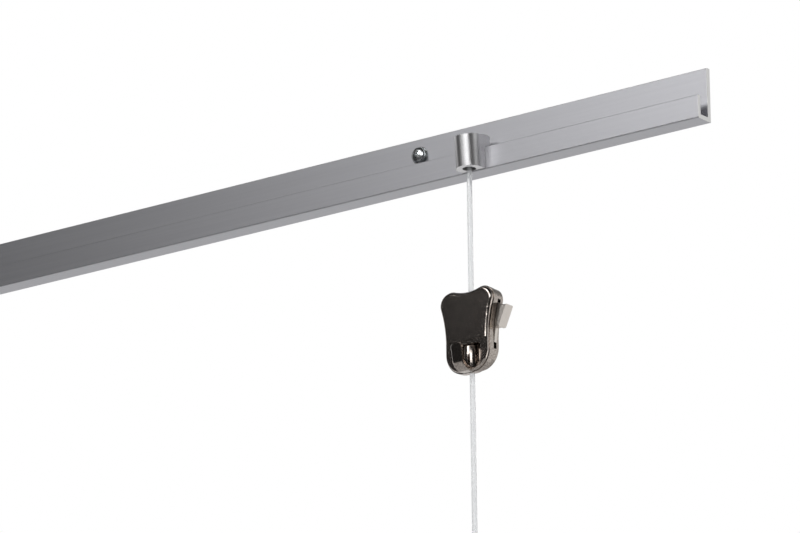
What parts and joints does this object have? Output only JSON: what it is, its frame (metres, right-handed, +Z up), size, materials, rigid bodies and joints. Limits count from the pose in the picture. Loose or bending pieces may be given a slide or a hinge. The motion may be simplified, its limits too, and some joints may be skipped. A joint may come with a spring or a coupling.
{
  "type": "picture rail moulding",
  "caption": "Wall-fixed aluminium picture rail with a J-shaped channel, a sliding cord hanger, a clear hanging cord and a self-gripping picture hook.",
  "frame": {"origin": "centre of the rail's flat back face, on the wall", "axes": "+Z up, +X along the rail to its free right end, +Y into the wall, so the front faces -Y"},
  "size_m": [1, 0.0502, 0.2041],
  "materials": {
    "anodised_aluminium": "satin anodised, slightly cool grey",
    "zinc_plated_steel": "bright zinc plate",
    "satin_nickel": "satin nickel plate",
    "black_nickel": "polished nickel plate with a dark, warm reflection",
    "clear_nylon": "clear, smooth",
    "tie_plastic": "plain"
  },
  "bodies": {
    "rail_and_screws": {"rail": "anodised_aluminium", "wall_screw_left": "zinc_plated_steel", "wall_screw_middle": "zinc_plated_steel", "wall_screw_right": "zinc_plated_steel"},
    "hanger_and_cord": {"rail_hanger": "satin_nickel", "hanging_cord": "clear_nylon", "cord_coil": "clear_nylon", "cord_tie": "tie_plastic"},
    "hook": {"hook_body": "black_nickel"},
    "tab": {"release_tab": "satin_nickel"}
  },
  "joints": [
    {"name": "hanger_slide", "type": "slide", "parent": "rail_and_screws", "child": "hanger_and_cord", "axis": [1, 0, 0], "range_m": [-0.891, 0.097]},
    {"name": "hook_slide", "type": "slide", "parent": "hanger_and_cord", "child": "hook", "axis": [0, 0, 1], "range_m": [-0.066, 0.047]},
    {"name": "release_tab_slide", "type": "slide", "parent": "hook", "child": "tab", "axis": [0.1392, 0, -0.9903], "range_m": [0, 0.0022], "stiffness_N_per_m": 400, "springref_m": -0.0015}
  ]
}
